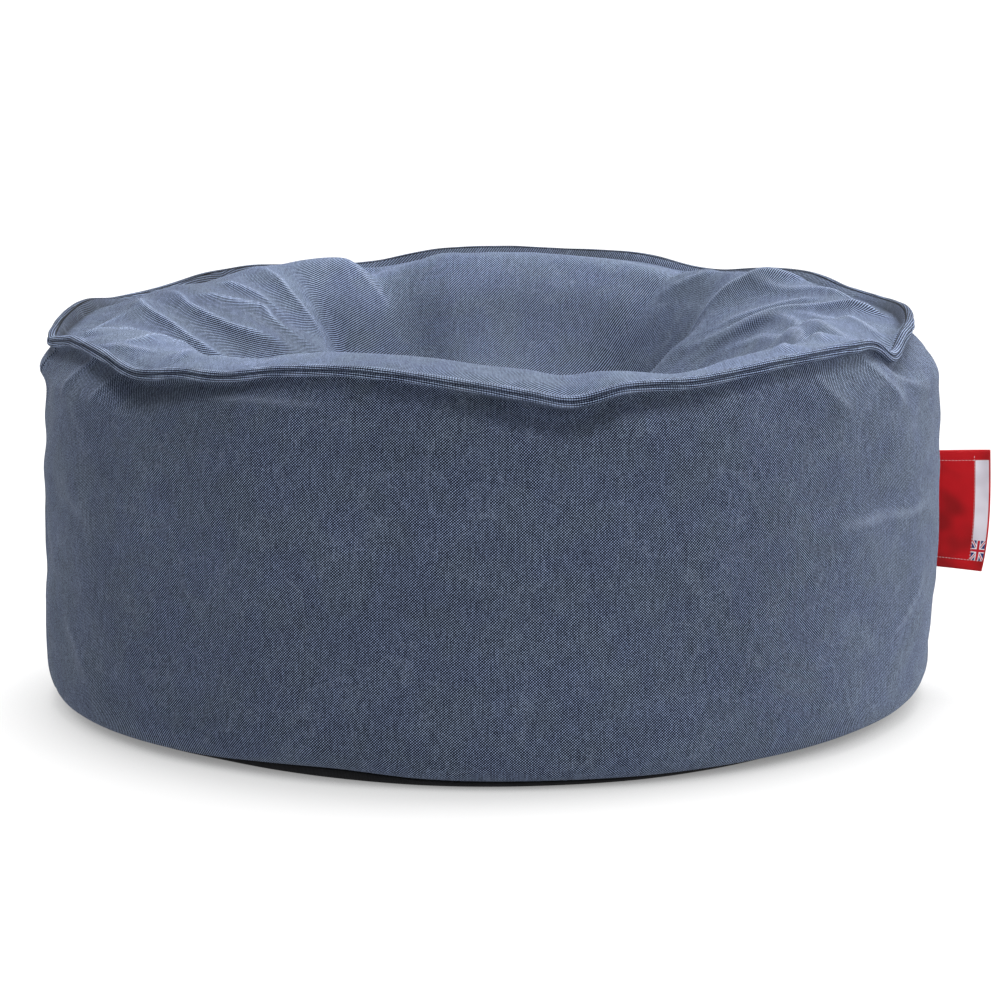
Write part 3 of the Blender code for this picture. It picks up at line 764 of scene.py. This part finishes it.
def label_point(share, up, off):
    """Points of the label: share of the way out, share of its height and distance to the front."""
    share, up, off = np.broadcast_arrays(share, up, off)
    height = LABEL_TOP - LABEL_HEIGHT * (1 - up)
    spot = np.full(height.shape, LABEL_AZIMUTH)
    wall = WALL_RADIUS + column(WALL, "middle", spot) - wall_creases(spot, height)[0]
    reach = LABEL_WIDTH - 6 * SCALE * (1 - up) ** 3
    out = wall - LABEL_ROOT_IN + share * (reach + LABEL_ROOT_IN)

    # The tape bends to the front, with a ripple, and hangs a little at its lower corner
    wave = 4 * share * np.sin(math.pi * (up + 0.15)) + 3 * share**2
    wave = wave + 0.5 * np.sin(9 * share + 4 * up) * share * (1 - share) + off
    turn = math.radians(LABEL_AZIMUTH)
    x = out * math.sin(turn) - wave * math.cos(turn)
    y = -out * math.cos(turn) - wave * math.sin(turn)
    return np.stack([x, y, height - 4.5 * share * (1 - up)], axis=-1)


def tape_off(share, up):
    """How far each leaf of the folded tape stands from the middle between them."""
    puff = 0.75 * np.sin(math.pi * np.clip(share, 0, 1))
    puff = puff * smooth(up / 0.12) * smooth((1 - up) / 0.1)
    fold = np.sqrt(np.clip(1 - ((share - TAPE_FOLD) / (1 - TAPE_FOLD)) ** 2, 0, 1))
    return (0.38 + puff) * np.where(share > TAPE_FOLD, fold, 1)


def make_label(look, stitch_look):
    """The red tape folded double, closed by white stitches and sewn into the side seam."""
    round_fold = 1 - (1 - TAPE_FOLD) * np.array([0.7, 0.4, 0.15, 0.03])
    ease = np.concatenate([np.linspace(0, TAPE_FOLD, 22), round_fold])
    share = np.concatenate([ease, [1], ease[::-1]])
    side = np.concatenate([np.ones(len(ease)), [0], -np.ones(len(ease))])
    up = np.linspace(0, 1, 34)
    grid_share, grid_up = np.meshgrid(share, up, indexing="ij")
    points = label_point(grid_share, grid_up, side[:, None] * tape_off(grid_share, grid_up))
    index = np.arange(grid_up.size).reshape(grid_up.shape)
    quads = corners(index[:-1], index[1:])
    path = np.where(side > 0, share, 2 - share)[:, None] * LABEL_WIDTH
    laid = np.stack(np.broadcast_arrays(path, grid_up * LABEL_HEIGHT), axis=-1)
    mesh = cloth_mesh("label_tape", points.reshape(-1, 3), quads, corners(laid[:-1], laid[1:]))
    tape = fresh("label_tape", mesh, "red_tape", look)
    thick = tape.modifiers.new("tape", "SOLIDIFY")
    thick.thickness = TAPE_THICKNESS * MM
    thick.offset = 1
    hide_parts("side_label")

    centres, ways, outs = [], [], []
    for pitch, row_start, row_end in LABEL_SEWING:
        start, end = np.array(row_start), np.array(row_end)
        size = np.array([LABEL_WIDTH, LABEL_HEIGHT])
        count = round(np.linalg.norm((end - start) * size) / pitch)
        for face in (1, -1):
            for i in range(count):
                here = start + (end - start) * (i + 0.5) / count
                step = (end - start) * 0.2 / count
                lift = face * (tape_off(*here) + TAPE_THICKNESS * 0.9)
                ends = [label_point(*(here + turn * step), lift) for turn in (-1, 0, 1)]
                centres.append(ends[1])
                ways.append(ends[2] - ends[0])
                outs.append(label_point(*here, lift + face) - ends[1])
    arrays = [np.array(rows) for rows in (centres, ways, outs)]
    mesh = thread_mesh("label_stitches", *arrays, *LABEL_STITCH)
    sewing = fresh("label_stitches", mesh, "red_tape", stitch_look)


# Studio, camera and colours

CAMERA_PLACE = (0.0075, -4.0, 0.8926)
CAMERA_AIM = (0.0075, 0, 0.1451)
CAMERA_LENS = 197.0
FLOOR_HALF_WIDTH = 30
LAMP_DISTANCE = 3
WORLD_LIGHT = 0.3
# Lamps: azimuth, elevation, angle across and strength
LAMPS = {
    "top_lamp": (165, 68, 40, 5.3),
    "front_lamp": (42, 26, 40, 0.9),
    "right_lamp": (118, 18, 40, 2.6),
    "left_lamp": (-132, 18, 40, 0.45),
}


def linear(red, green, blue):
    """A colour given as screen values from 0 to 255."""
    return (*(((value / 255 + 0.055) / 1.055) ** 2.4 for value in (red, green, blue)), 1)


class Nodes:
    """Short calls for wiring a material. All but add, put and finish return the output socket of
    a new node."""

    def __init__(self, name):
        self.material = bpy.data.materials.new(name)
        self.material.use_nodes = True
        self.tree = self.material.node_tree
        self.shader = self.tree.nodes["Principled BSDF"]

    def add(self, kind, inputs=(), **settings):
        node = self.tree.nodes.new(kind)
        for key, value in settings.items():
            setattr(node, key, value)
        for key, value in dict(inputs).items():
            self.put(node.inputs[key], value)
        return node

    def put(self, socket, value):
        if isinstance(value, bpy.types.NodeSocket):
            self.tree.links.new(value, socket)
        else:
            socket.default_value = value

    def finish(self, **values):
        """Sets the shader's sockets, spaces in their names written as underscores."""
        for key, value in values.items():
            self.put(self.shader.inputs[key.replace("_", " ")], value)
        return self.material

    def laid(self):
        return self.add("ShaderNodeUVMap", uv_map="cloth").outputs[0]

    def place(self):
        return self.add("ShaderNodeTexCoord").outputs["Object"]

    def math(self, operation, a, b=0.0):
        return self.add("ShaderNodeMath", {0: a, 1: b}, operation=operation).outputs[0]

    def product(self, a, b):
        return self.math("MULTIPLY", a, b)

    def total(self, a, b):
        return self.math("ADD", a, b)

    def noise(self, place, scale, detail, roughness=0.5):
        inputs = {"Vector": place, "Scale": scale, "Detail": detail, "Roughness": roughness}
        return self.add("ShaderNodeTexNoise", inputs).outputs["Fac"]

    def vector(self, x, y, z=0.0):
        return self.add("ShaderNodeCombineXYZ", {0: x, 1: y, 2: z}).outputs[0]

    def spread(self, value, low, high, to_low=0.0, to_high=1.0):
        inputs = {0: value, 1: low, 2: high, 3: to_low, 4: to_high}
        return self.add("ShaderNodeMapRange", inputs, interpolation_type="SMOOTHSTEP").outputs[0]

    def mix(self, share, a, b, blend_type="MIX"):
        node = self.add("ShaderNodeMix", data_type="RGBA", blend_type=blend_type)
        self.put(node.inputs[0], share)
        self.put(node.inputs[6], a)
        self.put(node.inputs[7], b)
        return node.outputs[2]

    def bump(self, height, strength, distance):
        inputs = {"Strength": strength, "Distance": distance, "Height": height}
        return self.add("ShaderNodeBump", inputs).outputs[0]


# Canvas. A weave's pitches are in metres, slant is how strongly its crossings line up into
# slanting ribs, low and high are where its dark and pale yarns meet, and tone is how pale it is
Weave = namedtuple("Weave", "warp weft slant low high tone")
BAND_WEAVE = Weave(0.00104, 0.00098, 0.15, 0.12, 0.70, 0.74)
TOP_WEAVE = Weave(0.0011, 0.0013, 0.6, -0.35, 1.2, 0.97)
SEAM_WEAVE = Weave(0.0013, 0.0012, 0.3, -0.05, 0.85, 0.92)
YARN_DARK = linear(9, 17, 38)
YARN_LIGHT = linear(174, 194, 229)
WASH_INDIGO = (0.97, 0.97, 1.03, 1)
WASH_GREY = (1.03, 1.03, 1.0, 1)
RUBBED = linear(172, 184, 208)
SHEEN = linear(190, 205, 235)
# How far the yarns drift, in metres
YARN_DRIFT = (0.0014, 0.0014, 0)
THREAD_NAVY = linear(40, 48, 74)
THREAD_WHITE = linear(228, 214, 220)
# Dark and pale parts of the base cloth and its dust, of the label's red and of its white strip
BASE_BLACK, BASE_GREY, BASE_DUST = linear(8, 8, 11), linear(24, 24, 30), linear(70, 70, 76)
BASE_YARN = 0.0006
RED_DARK, RED_LIGHT = linear(150, 2, 12), linear(196, 4, 20)
WHITE_DARK, WHITE_LIGHT = linear(205, 196, 206), linear(238, 232, 240)
FLAG_BLUE, FLAG_WHITE, FLAG_RED = linear(28, 44, 104), linear(235, 232, 238), linear(190, 24, 44)
# The slope of the flag's diagonals, the pitch of the tape's ribs and how soft its edges of colour
# are, in millimetres
FLAG_SLOPE = (0.555, 0.832)
TAPE_RIB = 0.42
SOFT_EDGE = 0.2


def canvas(name, turn, weave):
    """Stonewashed navy canvas: a plain weave of dark and pale yarn, turned on the laid-out cloth,
    with wash marks in soft patches, fine pale creases, rubbed crests and painted shade in sheltered
    parts."""
    n = Nodes(name)
    laid = n.laid()
    place = n.place()
    drift = n.add("ShaderNodeTexNoise", {"Vector": place, "Scale": 34.0, "Detail": 2.0})
    factors = {0: drift.outputs["Color"], 1: YARN_DRIFT}
    drift = n.add("ShaderNodeVectorMath", factors, operation="MULTIPLY").outputs[0]
    moved = n.add("ShaderNodeVectorMath", {0: laid, 1: drift}, operation="ADD").outputs[0]
    rotation = {"Vector": moved, "Angle": math.radians(turn)}
    turned = n.add("ShaderNodeVectorRotate", rotation, rotation_type="Z_AXIS").outputs[0]
    parts = n.add("ShaderNodeSeparateXYZ", {0: turned})
    warp = n.math("DIVIDE", parts.outputs[0], weave.warp)
    weft = n.math("DIVIDE", parts.outputs[1], weave.weft)
    turns = [n.product(count, math.pi) for count in (warp, weft)]
    checker = n.product(n.math("COSINE", turns[0]), n.math("COSINE", turns[1]))
    slanted = n.product(n.math("SINE", turns[0]), n.math("SINE", turns[1]))
    pattern = n.total(checker, n.product(slanted, weave.slant))

    # Each crossing and each yarn has its own shade
    cell = n.vector(n.math("ROUND", warp), n.math("ROUND", weft))
    crossing = n.add("ShaderNodeTexWhiteNoise", {"Vector": cell}, noise_dimensions="3D")
    crossing = crossing.outputs["Value"]
    yarn = n.noise(n.vector(n.product(warp, 0.8), n.product(weft, 0.055)), 1.0, 1.0)
    shade = n.total(n.product(yarn, 0.5), n.total(n.product(crossing, 0.22), -0.36))
    fleck = n.product(n.total(n.noise(place, 420.0, 1.0), -0.5), 0.25)
    crown = n.spread(n.total(n.total(pattern, shade), fleck), weave.low, weave.high)

    # Washed patches, broader dark and pale parts, and the painted shade of sheltered parts
    patches = n.spread(n.noise(place, 30.0, 2.0, 0.6), 0.36, 0.66)
    blotch = n.noise(place, 70.0, 2.0, 0.6)
    broad = n.noise(place, 9.0, 2.0, 0.5)
    colour = n.mix(crown, YARN_DARK, YARN_LIGHT)
    colour = n.mix(1.0, colour, n.mix(patches, WASH_INDIGO, WASH_GREY), "MULTIPLY")
    # The wear attribute holds rubbed wear above 0 and painted shade below 0
    wear = n.add("ShaderNodeAttribute", attribute_name="wear").outputs["Fac"]
    level = n.total(0.57 * weave.tone, n.total(n.product(blotch, 0.18), n.product(broad, 0.24)))
    painted_shade = n.total(1.0, n.product(n.math("MINIMUM", wear, 0.0), 0.65))
    level = n.product(level, painted_shade)
    colour = n.mix(1.0, colour, n.vector(level, level, level), "MULTIPLY")

    # Rubbed crests and fine pale creases
    veins = n.math("ABSOLUTE", n.total(n.noise(place, 17.0, 4.0, 0.55), -0.5))
    veins = n.spread(veins, 0.0, 0.012, 1.0, 0.0)
    rubbed = n.math("MAXIMUM", n.product(wear, 0.4), n.product(veins, 0.06))
    colour = n.mix(rubbed, colour, RUBBED)

    relief = n.total(n.math("ABSOLUTE", checker), n.product(yarn, 0.5))
    return n.finish(
        Base_Color=colour,
        Roughness=0.92,
        Specular_IOR_Level=0.2,
        Sheen_Weight=0.08,
        Sheen_Roughness=0.45,
        Sheen_Tint=SHEEN,
        Normal=n.bump(relief, 0.4, 0.00022),
    )


def thread(name, colour):
    """Twisted sewing thread."""
    n = Nodes(name)
    place = n.place()
    twist = n.noise(place, 2600.0, 1.0)
    darker = (*(0.7 * value for value in colour[:3]), 1)
    return n.finish(
        Base_Color=n.mix(n.spread(twist, 0.3, 0.7), darker, colour),
        Roughness=0.6,
        Sheen_Weight=0.2,
        Normal=n.bump(twist, 0.5, 0.0001),
    )


def black_cloth(name):
    """Black woven cloth with a fine plain weave and a little dust."""
    n = Nodes(name)
    laid = n.laid()
    parts = n.add("ShaderNodeSeparateXYZ", {0: laid})
    turns = [n.product(parts.outputs[i], math.pi / BASE_YARN) for i in (0, 1)]
    checker = n.product(n.math("COSINE", turns[0]), n.math("COSINE", turns[1]))
    place = n.place()
    dust = n.spread(n.noise(place, 30.0, 4.0, 0.6), 0.35, 0.75)
    shade = n.mix(n.spread(checker, -0.6, 1.0), BASE_BLACK, BASE_GREY)
    return n.finish(
        Base_Color=n.mix(n.product(dust, 0.12), shade, BASE_DUST),
        Roughness=0.85,
        Sheen_Weight=0.05,
        Normal=n.bump(checker, 0.5, 0.0002),
    )


def label_satin(name):
    """Red satin tape, with the white strip woven along its fold and the flag at the strip's end."""
    n = Nodes(name)
    laid = n.laid()
    parts = n.add("ShaderNodeSeparateXYZ", {0: laid})
    across = n.math("DIVIDE", parts.outputs[0], MM)
    up = n.math("DIVIDE", parts.outputs[1], MM)
    place = n.place()
    ribs = n.math("COSINE", n.product(up, 2 * math.pi / TAPE_RIB))
    cloudy = n.noise(place, 45.0, 1.0, 0.5)
    red = n.mix(n.spread(cloudy, 0.3, 0.7), RED_DARK, RED_LIGHT)
    white = n.mix(n.spread(cloudy, 0.3, 0.7), WHITE_DARK, WHITE_LIGHT)
    flag = flag_colour(n, across, up)

    def inside(value, low, high):
        past_high = n.spread(value, high - SOFT_EDGE, high + SOFT_EDGE, 1.0, 0.0)
        return n.product(n.spread(value, low - SOFT_EDGE, low + SOFT_EDGE), past_high)

    in_band = n.product(inside(across, *LABEL_BAND), inside(up, *LABEL_BAND_UP))
    in_flag = n.product(inside(across, *LABEL_BAND), inside(up, *FLAG_UP))
    colour = n.mix(in_flag, n.mix(in_band, red, white), flag)
    return n.finish(
        Base_Color=colour,
        Roughness=0.6,
        Specular_IOR_Level=0.2,
        Normal=n.bump(n.total(n.product(ribs, 0.3), cloudy), 0.25, 0.0003),
    )


def flag_colour(n, across, up):
    """The Union flag, turned to stand on its side on the white strip."""
    middle_up = 0.5 * (FLAG_UP[0] + FLAG_UP[1])
    middle_across = 0.5 * (LABEL_BAND[0] + LABEL_BAND[1])
    half = 0.5 * (LABEL_BAND[1] - LABEL_BAND[0])
    length = n.math("ABSOLUTE", n.math("DIVIDE", n.total(up, -middle_up), half))
    width = n.math("ABSOLUTE", n.math("DIVIDE", n.total(across, -middle_across), half))
    sloped = [n.product(way, slope) for way, slope in zip((length, width), FLAG_SLOPE)]
    diagonal = n.math("ABSOLUTE", n.math("SUBTRACT", *sloped))
    nearest = n.math("MINIMUM", length, width)
    colour = FLAG_BLUE
    bars = [(diagonal, 0.16, 0.22, FLAG_WHITE), (diagonal, 0.05, 0.09, FLAG_RED)]
    bars += [(nearest, 0.30, 0.36, FLAG_WHITE), (nearest, 0.17, 0.22, FLAG_RED)]
    for distance, low, high, bar in bars:
        colour = n.mix(n.spread(distance, low, high, 1.0, 0.0), colour, bar)
    return colour


def lit_floor():
    """A white floor that glows, as one lit evenly from all round, and is shaded near the pouf."""
    n = Nodes("floor_white")
    n.material.cycles.emission_sampling = "NONE"
    sky = n.add("ShaderNodeAmbientOcclusion", {"Distance": 0.1}, samples=8).outputs["AO"]
    hidden = n.math("SUBTRACT", 1.0, sky)
    glow = n.math("SUBTRACT", 0.78, n.product(n.product(hidden, hidden), 0.6))
    return n.finish(
        Base_Color=(0.2, 0.2, 0.2, 1),
        Roughness=0.9,
        Specular_IOR_Level=0.0,
        Emission_Color=(1, 1, 1, 1),
        Emission_Strength=n.math("MAXIMUM", glow, 0.2),
    )


def sun(name, azimuth, elevation, angle, strength):
    """A soft far lamp that shines from an azimuth and an elevation."""
    lamp = bpy.data.lights.new(name, "SUN")
    lamp.angle = math.radians(angle)
    lamp.energy = strength
    made = placed(name, lamp)
    level = math.cos(math.radians(elevation))
    place = Vector((*plan(azimuth, level), math.sin(math.radians(elevation))))
    made.location = place * LAMP_DISTANCE
    made.rotation_euler = place.to_track_quat("Z", "Y").to_euler()


def make_world():
    """Soft grey light from all round, white near the horizon like a studio backdrop."""
    world = bpy.data.worlds.new("studio")
    bpy.context.scene.world = world
    world.use_nodes = True
    tree = world.node_tree
    way = tree.nodes.new("ShaderNodeTexCoord")
    parts = tree.nodes.new("ShaderNodeSeparateXYZ")
    level = tree.nodes.new("ShaderNodeMapRange")
    for socket, value in zip(level.inputs[1:5], (0.05, 0.16, 1.0, WORLD_LIGHT)):
        socket.default_value = value
    tree.links.new(way.outputs["Generated"], parts.inputs[0])
    tree.links.new(parts.outputs[2], level.inputs[0])
    tree.links.new(level.outputs[0], tree.nodes["Background"].inputs["Strength"])
    tree.nodes["Background"].inputs["Color"].default_value = (1, 1, 1, 1)


def make_studio():
    """The floor, the light, the lamps and the camera."""
    scene = bpy.context.scene
    scene.view_settings.view_transform = "Standard"
    mesh = bpy.data.meshes.new("floor")
    half = FLOOR_HALF_WIDTH
    points = [(-half, -half, 0), (half, -half, 0), (half, half, 0), (-half, half, 0)]
    mesh.from_pydata(points, [], [(0, 1, 2, 3)])
    mesh.materials.append(lit_floor())
    floor = placed("floor", mesh)
    make_world()
    for name, lamp in LAMPS.items():
        sun(name, *lamp)
    camera = placed("camera", bpy.data.cameras.new("camera"))
    camera.location = CAMERA_PLACE
    aim = Vector(CAMERA_AIM) - Vector(CAMERA_PLACE)
    camera.rotation_euler = aim.to_track_quat("-Z", "Y").to_euler()
    camera.data.sensor_width = 36
    camera.data.lens = CAMERA_LENS
    scene.camera = camera


make_studio()
make_cover()
make_rim_seam(canvas("seam_canvas", 45, SEAM_WEAVE))
make_rim_stitches()
make_base(black_cloth("black_cloth"))
make_label(label_satin("red_satin"), thread("white_thread", THREAD_WHITE))
